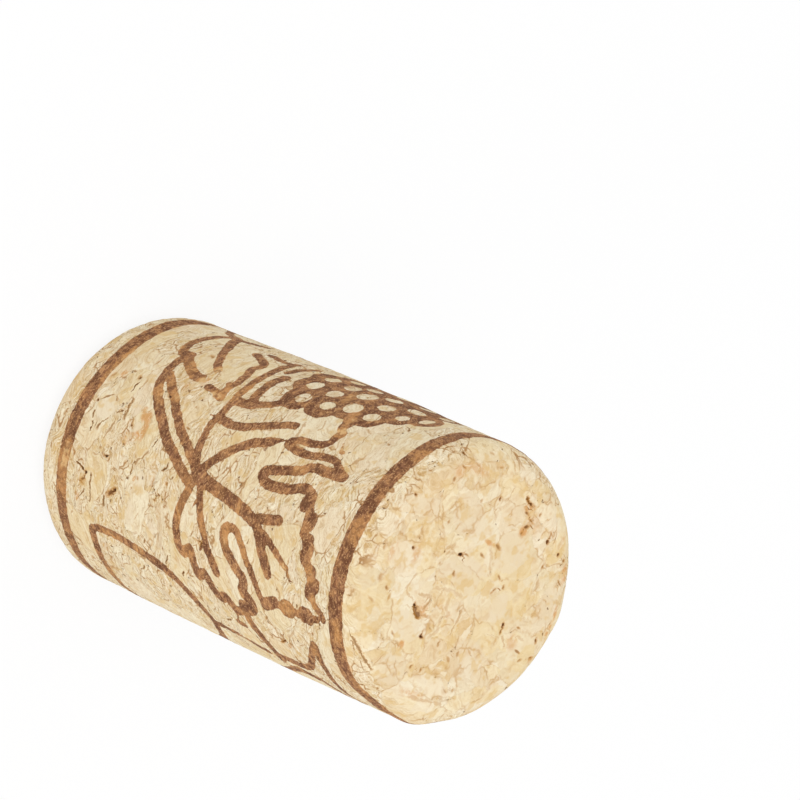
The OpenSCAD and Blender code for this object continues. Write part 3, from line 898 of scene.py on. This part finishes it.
# %% The relief as true shape
STEP_MM = 0.05
GROOVE_MM = 0.025
FLAW_MM = 0.2
UNEVEN_MM = 0.11

relief = bpy.data.node_groups.new("cork_relief", "GeometryNodeTree")
for way in ("INPUT", "OUTPUT"):
    relief.interface.new_socket("Geometry", in_out=way, socket_type="NodeSocketGeometry")
position = add(relief, "GeometryNodeInputPosition")
place = add(relief, VECTOR, {0: position, "Scale": 1 / MM}, operation="SCALE")
pattern = granules(relief, place)
flaw = add(relief, "GeometryNodeInputNamedAttribute", {0: "flaw"}, data_type="FLOAT_VECTOR")
flaw_dark = add(relief, PARTS, (flaw,), out=2)
flaw_flat = add(relief, VECTOR, (flaw, (1, 1, 0)), **TIMES)
flaw_away = add(relief, VECTOR, (flaw_flat,), out=1, operation="LENGTH")
flaw_bowl = add(relief, RAMP, (flaw_away, 1.3, 0.3, 0.0, FLAW_MM), **SOFT)
chance = add(relief, PARTS, (pattern["tone"],), out=2)
uneven = add(relief, NOISE, {"Vector": place, "Scale": 0.16, "Detail": 3.0})
hollows = [
    add(relief, MATH, (flaw_bowl, flaw_dark), **TIMES),
    add(relief, RAMP, (pattern["edge"], 0.35, 0.0, 0.0, GROOVE_MM), **SOFT),
    add(relief, MATH, (chance, STEP_MM), **TIMES),
    add(relief, MATH, (uneven, UNEVEN_MM), **TIMES),
    add(relief, "GeometryNodeInputNamedAttribute", {0: "flat"}, data_type="FLOAT"),
]
hollow = hollows[0]
for more in hollows[1:]:
    hollow = add(relief, MATH, (hollow, more), **PLUS)
inwards = add(relief, MATH, (hollow, -MM), **TIMES)
normal = add(relief, "GeometryNodeInputNormal")
offset = add(relief, VECTOR, {0: normal, "Scale": inwards}, operation="SCALE")
moved = add(relief, "GeometryNodeSetPosition", {0: add(relief, "NodeGroupInput"), 3: offset})
add(relief, "NodeGroupOutput", (moved,))
modifier = cork.modifiers.new("relief", "NODES")
modifier.node_group = relief
bpy.ops.object.select_all(action="DESELECT")
cork.select_set(True)
bpy.context.view_layer.objects.active = cork
bpy.ops.object.modifier_apply(modifier="relief")
bpy.ops.object.shade_smooth()
print("cork after the relief in mm:", [round(side / MM, 2) for side in cork.dimensions])

# %% [markdown]
# The material is bare agglomerated cork: granules of bark with a little binder.
# It is matt, cream to tan, and no two granules have the same tone. The fields
# come first: the pattern, what the mesh keeps, and clouds of noise at several
# scales, from slow patches to grit.

# %% The fields of the material
finish = bpy.data.materials.new("agglomerated_cork_ground_and_printed")
finish.use_nodes = True
tree = finish.node_tree
tree.nodes.clear()

object_place = add(tree, "ShaderNodeTexCoord", out=3)
place = add(tree, VECTOR, {0: object_place, "Scale": 1 / MM}, operation="SCALE")
pattern = granules(tree, place)
edge = pattern["edge"]
tone_a, tone_b, tone_c = add(tree, PARTS, (pattern["tone"],)).node.outputs
block_b, block_c = add(tree, PARTS, (pattern["large"],)).node.outputs[1:]
facet_a, facet_b, facet_c = add(tree, PARTS, (pattern["small"],)).node.outputs
broad, fine, year = layers(tree, place, pattern["tone"])
# The lines of the years are thick and thin, as the fibres let them through
year_line = add(tree, MATH, (fine, 0.35, year), **TIMES_PLUS)

KEPT = {"smooth": 2, "bark": 2, "worn": 2, "print": 2, "flaw": 1, "crack": 1}
kept = [add(tree, "ShaderNodeAttribute", (), out, attribute_name=name) for name, out in KEPT.items()]
smooth_spots, bark_spots, wear, print_depth, flaw, crack = kept

# Each cloud's waves to the millimetre, and how many finer waves ride on them
CLOUDS = {
    "patches": (0.2, 2.0),
    "broken": (0.8, 2.0),
    "blotches": (0.9, 2.0),
    "crumbs": (1.1, 3.0),
    "opening": (1.4, 2.0),
    "fray": (1.8, 3.0),
    "mottle": (2.2, 3.0),
    "grit": (7.0, 2.0),
}
clouds = [
    add(tree, NOISE, {"Vector": place, "Scale": waves, "Detail": detail})
    for waves, detail in CLOUDS.values()
]
patches, broken, blotches, crumbs, opening, fray, mottle, grit = clouds
print("clouds of noise:", ", ".join(CLOUDS))

# %% [markdown]
# The cut ends and the large smooth granules are calmer than the ground barrel,
# and seams, rings and year lines come and go. Masks say where. Each mask is a
# product: soft ramps of some fields, from one end to the other and with what
# they give there, and other fields as they are.

# %% The masks
level = add(tree, PARTS, (place,), out=2)
above = add(tree, MATH, (level, LEN_MM / 2), **MINUS)
from_middle = add(tree, MATH, (above,), operation="ABSOLUTE")
on_cut = add(tree, RAMP, (from_middle, LEN_MM / 2 - 0.9, LEN_MM / 2 - 0.2), **SOFT)
smooth = add(tree, MATH, (mottle, 0.5, smooth_spots), **TIMES_PLUS)
smooth = add(tree, RAMP, (smooth, 0.62, 0.78), **SOFT)
calm_parts = [(pattern["split"], 0.0, 1.0, 0.5, 1.0), (smooth, 0.0, 1.0, 1.0, 0.3)]
hair_parts = [*calm_parts, (on_cut, 0.0, 1.0, 1.0, 0.24)]
MASKS = {
    "calm": calm_parts,
    "hair": hair_parts,
    "years": [(broken, 0.42, 0.58), *hair_parts],
    "rings": [(broken, 0.5, 0.62), on_cut],
    "cut edges": [(broken, 0.4, 0.56), on_cut],
    "rough cut": [on_cut, (smooth, 0.0, 1.0, 1.0, 0.35)],
    "seams": [*calm_parts, (on_cut, 0.0, 1.0, 1.0, 0.25)],
    # This mask is for painted shade in a soft band along the seams between granules
    "painted seam shade": [(edge, 0.17, 0.0), (broken, 0.42, 0.62), (on_cut, 0.0, 1.0, 1.0, 0.7)],
    # This mask is for a painted highlight on the rims of granules, where light would catch them
    "raised": [(edge, 0.34, 0.2), (broken, 0.4, 0.58)],
    "pit room": [(mottle, 0.62, 0.76), (on_cut, 0.0, 1.0, 0.32, 0.16)],
    "bark": [bark_spots, (mottle, 0.28, 0.5)],
}
masks = {}
for name, parts in MASKS.items():
    made = [add(tree, RAMP, part, **SOFT) if isinstance(part, tuple) else part for part in parts]
    masks[name] = made[0]
    for more in made[1:]:
        masks[name] = add(tree, MATH, (masks[name], more), **TIMES)
print("masks:", ", ".join(masks))

# %% [markdown]
# Granules part along their seams where they stand a little away from each other,
# and a pit opens where such a gap meets a rough spot. Flaws and cracks come from
# what the mesh keeps, and noise makes their edges ragged: a dark core, a brown
# rim, painted shade deep in the darkest flaws, and a painted highlight on the lip
# of a crack, where its edge would catch the light.

# %% Seams, pits, flaws and cracks
gap = add(tree, RAMP, (broken, 0.52, 0.7, 0.002, 0.12), **SOFT)
seam = add(tree, MATH, (edge, gap), operation="DIVIDE")
pit = add(tree, MATH, (masks["pit room"], edge), **MINUS)
ragged = add(tree, MATH, (grit, 0.5), **MINUS)

flaw_dark = add(tree, PARTS, (flaw,), out=2)
flaw_flat = add(tree, VECTOR, (flaw, (1, 1, 0)), **TIMES)
flaw_away = add(tree, VECTOR, (flaw_flat,), out=1, operation="LENGTH")
flaw_away = add(tree, MATH, (mottle, 2.4, flaw_away), **TIMES_PLUS)
flaw_away = add(tree, MATH, (ragged, 0.7, flaw_away), **TIMES_PLUS)

crack_at, crack_dark = add(tree, PARTS, (crack,)).node.outputs[:2]
bend = add(tree, MATH, (mottle, 0.5), **MINUS)
crack_at = add(tree, MATH, (bend, 5.0, crack_at), **TIMES_PLUS)
crack_at = add(tree, MATH, (ragged, 2.5, crack_at), **TIMES_PLUS)
crack_away = add(tree, MATH, (crack_at,), operation="ABSOLUTE")
# A crack opens and closes along its way
crack_room = add(tree, RAMP, (opening, 0.38, 0.58, 0.5, 1.35), **SOFT)
crack_away = add(tree, MATH, (crack_away, crack_room), operation="DIVIDE")

# How far off each part begins and is full, and how dark the mark has to be for it
MARKS = [
    (flaw_away, 3.3, 1.6, flaw_dark, 0.0, 0.8),
    (flaw_away, 2.3, 1.5, flaw_dark, 0.3, 1.0),
    # The next row is painted shade deep in the hollow of the darkest flaws
    (flaw_away, 1.75, 1.3, flaw_dark, 0.8, 1.05),
    # The next row is a painted highlight on the lips of cracks
    (crack_away, 4.2, 2.4, crack_dark, 0.0, 0.5),
    (crack_away, 2.1, 0.7, crack_dark, 0.05, 0.85),
    (crack_away, 1.15, 0.4, crack_dark, 0.38, 0.9),
]
marks = []
for away, far, near, dark, least, most in MARKS:
    reached = add(tree, RAMP, (away, far, near), **SOFT)
    strong = add(tree, RAMP, (dark, least, most), **SOFT)
    marks.append(add(tree, MATH, (reached, strong), **TIMES))
flaw_rim, flaw_core, flaw_shade, crack_lip_highlight, crack_rim, crack_core = marks
print("nodes so far:", len(tree.nodes))

# %% [markdown]
# The colours are laid over each other like glazes. Each layer names a field, the
# range of it over which the layer comes in, how strong it gets, its colour, and
# the mask that thins it.

# %% The colour of the cork
CORK_CREAM = "#E7D4AB"
CORK_LAYERS = [
    ("tan granules", tone_a, 0.55, 0.7, 0.56, "#DABA84", None),
    ("pale granules", tone_b, 0.55, 0.7, 0.56, "#F1E7CD", None),
    ("pinkish granules", tone_c, 0.6, 0.75, 0.35, "#E4CAA9", None),
    ("slow patches", patches, 0.5, 0.7, 0.35, "#E0C28C", None),
    ("duller cut ends", on_cut, 0.0, 1.0, 0.6, "#E2D0AE", None),
    ("smooth granules", smooth, 0.0, 1.0, 0.5, "#E7D6BA", None),
    ("darker cut granules", block_b, 0.55, 0.62, 0.62, "#DFBF8C", "rough cut"),
    ("pale cut granules", block_c, 0.52, 0.6, 0.66, "#F2E9D3", "rough cut"),
    ("tan facets", facet_a, 0.6, 0.66, 0.24, "#DDBC84", "rough cut"),
    ("pale facets", facet_b, 0.55, 0.62, 0.28, "#F3E9D0", "rough cut"),
    ("yellow facets", facet_c, 0.62, 0.68, 0.4, "#E8CE93", "rough cut"),
    ("yellow crumbs", crumbs, 0.52, 0.68, 0.24, "#DFC088", "rough cut"),
    ("pale crumbs", crumbs, 0.46, 0.34, 0.2, "#F2E5C6", "rough cut"),
    ("edges of cut granules", edge, 0.15, 0.03, 0.26, "#C99C5E", "cut edges"),
    ("growth lines of cut granules", year_line, 0.34, 0.2, 0.25, "#D3A970", "rings"),
    ("bark", masks["bark"], 0.05, 0.75, 0.85, "#D49A57", None),
    ("broad dark fibres", broad, 0.51, 0.66, 0.6, "#D0A96E", "hair"),
    ("broad pale fibres", broad, 0.48, 0.36, 0.5, "#F1E5C9", "calm"),
    ("fine dark fibres", fine, 0.52, 0.63, 0.75, "#B68B4E", "hair"),
    ("fine pale fibres", fine, 0.47, 0.37, 0.7, "#F8EED6", "hair"),
    ("year lines", year_line, 0.26, 0.16, 0.5, "#BD8F54", "years"),
    ("dark grit", grit, 0.53, 0.66, 0.3, "#BC935A", "hair"),
    ("pale grit", grit, 0.47, 0.36, 0.3, "#F8EED6", "hair"),
    ("golden patches", blotches, 0.54, 0.66, 0.56, "#DCBA7B", None),
    # A painted highlight on the rims of granules
    ("raised edges of granules", masks["raised"], 0.0, 1.0, 0.4, "#F3E9CE", "seams"),
    # Painted shade in a soft band along the seams
    ("painted shade along seams", masks["painted seam shade"], 0.0, 1.0, 0.5, "#CCA062", None),
    ("seams", seam, 1.0, 0.2, 0.65, "#A0651C", "seams"),
    ("pits", pit, 0.0, 0.12, 0.85, "#7F511D", None),
    # A painted highlight on the lips of cracks, where their edges would catch the light
    ("painted highlights on lips of cracks", crack_lip_highlight, 0.0, 1.0, 0.4, "#F1E6C8", None),
    ("rims of cracks", crack_rim, 0.0, 1.0, 0.75, "#C08A44", None),
    ("cracks", crack_core, 0.0, 0.9, 0.95, "#66400F", None),
    ("rims of flaws", flaw_rim, 0.0, 1.0, 0.75, "#C28A42", None),
    ("flaws", flaw_core, 0.0, 1.0, 0.95, "#68390F", None),
    # Painted shade deep in the darkest flaws, over their own dark core
    ("painted shade deep in flaws", flaw_shade, 0.0, 1.0, 0.9, "#2E1E0C", None),
]


def glaze(colour, layers_over):
    """Lays the layers over a colour, one after another."""
    for name, field, start, full, strength, over, mask in layers_over:
        share = add(tree, RAMP, (field, start, full, 0.0, strength), **SOFT)
        if mask is not None:
            share = add(tree, MATH, (share, masks[mask]), **TIMES)
        mixed = {0: share, 6: colour, 7: linear(over)}
        colour = add(tree, "ShaderNodeMix", mixed, out=2, data_type="RGBA")
    return colour


cork_colour = glaze(linear(CORK_CREAM), CORK_LAYERS)
print("layers of colour on bare cork:", len(CORK_LAYERS))

# %% [markdown]
# The print is a thin brown glaze over the cork, so each granule makes it a little
# darker or lighter, the fibres show through, and it is worn to orange in places
# and lies thick in others. The edge of a stroke frays by about a tenth of a
# millimetre.

# %% The print's colour
INK_BROWN = "#99694A"
worn = add(tree, MATH, (mottle, 0.6), **TIMES)
worn = add(tree, MATH, (wear, 0.45, worn), **TIMES_PLUS)
worn = add(tree, MATH, (fine, 0.5, worn), **TIMES_PLUS)
INK_LAYERS = [
    ("dark granules", tone_b, 0.5, 0.6, 0.45, "#7A4F35", None),
    ("light granules", tone_a, 0.6, 0.7, 0.3, "#B8804E", None),
    ("thick ink", wear, 0.0, -0.8, 0.45, "#70452E", None),
    ("thin ink at the edges", print_depth, 0.22, 0.05, 0.4, "#B27C48", None),
    ("worn spots", worn, 0.62, 0.82, 0.85, "#CF9453", None),
    ("broad pale fibres", broad, 0.48, 0.34, 0.4, "#BC895A", None),
    ("broad dark fibres", broad, 0.52, 0.66, 0.55, "#74482C", None),
    ("fine pale fibres", fine, 0.48, 0.38, 0.7, "#CF9F6E", None),
    ("fine dark fibres", fine, 0.53, 0.63, 0.7, "#5D3822", None),
    ("year lines", year_line, 0.26, 0.16, 0.5, "#5C3720", "years"),
    ("pale blotches", blotches, 0.53, 0.62, 0.4, "#C8905A", None),
    ("dark blotches", blotches, 0.47, 0.4, 0.6, "#6E442B", None),
    ("pale mottle", mottle, 0.54, 0.66, 0.6, "#C6925F", None),
    ("dark mottle", mottle, 0.47, 0.36, 0.6, "#673C24", None),
    ("pale specks", grit, 0.42, 0.32, 0.7, "#E0B07A", None),
    ("dark specks", grit, 0.58, 0.68, 0.5, "#5A3620", None),
    ("slow wear", wear, 0.0, 0.7, 0.38, "#CA955F", None),
    ("worn through", worn, 0.84, 1.0, 0.8, "#E3BE86", None),
    ("seams", seam, 1.0, 0.3, 0.4, "#6E4A32", None),
    ("cracks", crack_core, 0.0, 0.9, 0.7, "#52331B", None),
    ("flaws", flaw_core, 0.0, 1.0, 0.97, "#432A14", None),
]
ink_colour = glaze(linear(INK_BROWN), INK_LAYERS)
frayed = add(tree, MATH, (fray, 0.3, print_depth), **TIMES_PLUS)
frayed = add(tree, MATH, (fine, 0.08, frayed), **TIMES_PLUS)
inked = add(tree, RAMP, (frayed, 0.155, 0.225), **SOFT)
both = {0: inked, 6: cork_colour, 7: ink_colour}
colour = add(tree, "ShaderNodeMix", both, out=2, data_type="RGBA")
print("layers of colour in the print:", len(INK_LAYERS))

# %% [markdown]
# What is finer than the mesh is bump: the fibres, the thin groove of a seam and
# a fine grit. Bare cork scatters light almost evenly, so it is rough and its
# gloss is low.

# %% The fine surface
year_groove = add(tree, RAMP, (year_line, 0.26, 0.16), **SOFT)
# Fields, and how many millimetres each of them raises the surface
HEIGHTS = [
    (add(tree, MATH, (broad, masks["hair"]), **TIMES), -0.12),
    (add(tree, MATH, (fine, masks["hair"]), **TIMES), -0.11),
    (grit, 0.015),
    (add(tree, RAMP, (edge, 0.16, 0.0), **SOFT), -0.008),
    (tone_c, -0.014),
    (add(tree, RAMP, (pit, -0.05, 0.15), **SOFT), -0.06),
    (crack_core, -0.015),
    (add(tree, MATH, (year_groove, masks["years"]), **TIMES), -0.02),
]
height = 0.0
for field, raised in HEIGHTS:
    height = add(tree, MATH, (field, raised, height), **TIMES_PLUS)
bump = add(tree, "ShaderNodeBump", {"Strength": 0.8, "Distance": MM, "Height": height})
surface = {
    "Base Color": colour,
    "Normal": bump,
    "Roughness": 0.85,
    "IOR": 1.45,
    "Specular IOR Level": 0.25,
    "Diffuse Roughness": 0.4,
}
add(tree, "ShaderNodeOutputMaterial", (add(tree, "ShaderNodeBsdfPrincipled", surface),))
cork.data.materials.append(finish)
print("nodes in the cork's material:", len(tree.nodes))

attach(cork, "root")
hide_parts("cork")

# %% [markdown]
# The cork stands on a plain white floor. To the camera the floor is mostly its
# own white, with a little of the shadow that falls on it, so the background
# stays white and the cork still stands on something.

# %% The floor
OWN_WHITE = 0.88

bpy.ops.object.select_all(action="DESELECT")
bpy.ops.mesh.primitive_plane_add(size=4.0)
floor = bpy.context.object
floor.name = "studio_floor"
sweep = bpy.data.materials.new("white_paper_sweep")
sweep.use_nodes = True
tree = sweep.node_tree
tree.nodes.clear()
paper = add(tree, "ShaderNodeBsdfDiffuse", {"Color": linear("#F8F8F8")})
glow = add(tree, "ShaderNodeEmission", {"Color": linear("#FFFFFF"), "Strength": 1.0})
rays = add(tree, "ShaderNodeLightPath").node.outputs
seen = rays["Is Camera Ray"]
for ray in ("Is Glossy Ray", "Is Transmission Ray"):
    seen = add(tree, MATH, (seen, rays[ray]), operation="MAXIMUM")
white_share = add(tree, MATH, (seen, OWN_WHITE), **TIMES)
floor_shader = add(tree, "ShaderNodeMixShader", (white_share, paper, glow))
add(tree, "ShaderNodeOutputMaterial", (floor_shader,))
floor.data.materials.append(sweep)
floor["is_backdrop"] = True
print("floor across in m:", floor.dimensions.x)

# %% [markdown]
# A small matt thing is lit as in a light tent: most of the light comes from all
# round, and two large soft lamps, one at the front right and one above, give it
# a little shape. At this level a colour comes out about as it is written.

# %% The light
TENT_LIGHT = 0.76

world = bpy.data.worlds.new("light_tent")
world.use_nodes = True
bpy.context.scene.world = world
tree = world.node_tree
tree.nodes.clear()
rays = add(tree, "ShaderNodeLightPath").node.outputs
tent = add(tree, "ShaderNodeBackground", {"Color": linear("#FFFFFF"), "Strength": TENT_LIGHT})
white = add(tree, "ShaderNodeBackground", {"Color": linear("#FFFFFF"), "Strength": 1.0})
backdrop = add(tree, "ShaderNodeMixShader", (rays["Is Camera Ray"], tent, white))
add(tree, "ShaderNodeOutputWorld", (backdrop,))


def soft_lamp(name, place, size, watts):
    """Hangs a square lamp that points at the cork's middle."""
    data = bpy.data.lights.new(name, "AREA")
    data.size = size
    data.energy = watts
    lamp = bpy.data.objects.new(name, data)
    bpy.context.scene.collection.objects.link(lamp)
    lamp.location = place
    towards = Vector((0, 0, CORK_LEN / 2)) - lamp.location
    lamp.rotation_mode = "QUATERNION"
    lamp.rotation_quaternion = towards.to_track_quat("-Z", "Y")


soft_lamp("side_softbox", Vector((0.65, -0.65, 0.45)), 0.5, 0.85)
soft_lamp("top_softbox", Vector((0.10, -0.35, 0.95)), 0.5, 3.3)
bpy.context.scene.view_settings.view_transform = "Standard"

# %% [markdown]
# Last, the size of what is shown is printed, as the CAD box was at the start.

# %% The size of what is shown
low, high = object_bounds()
print("visual box in mm:", [round(side / MM, 2) for side in high - low])
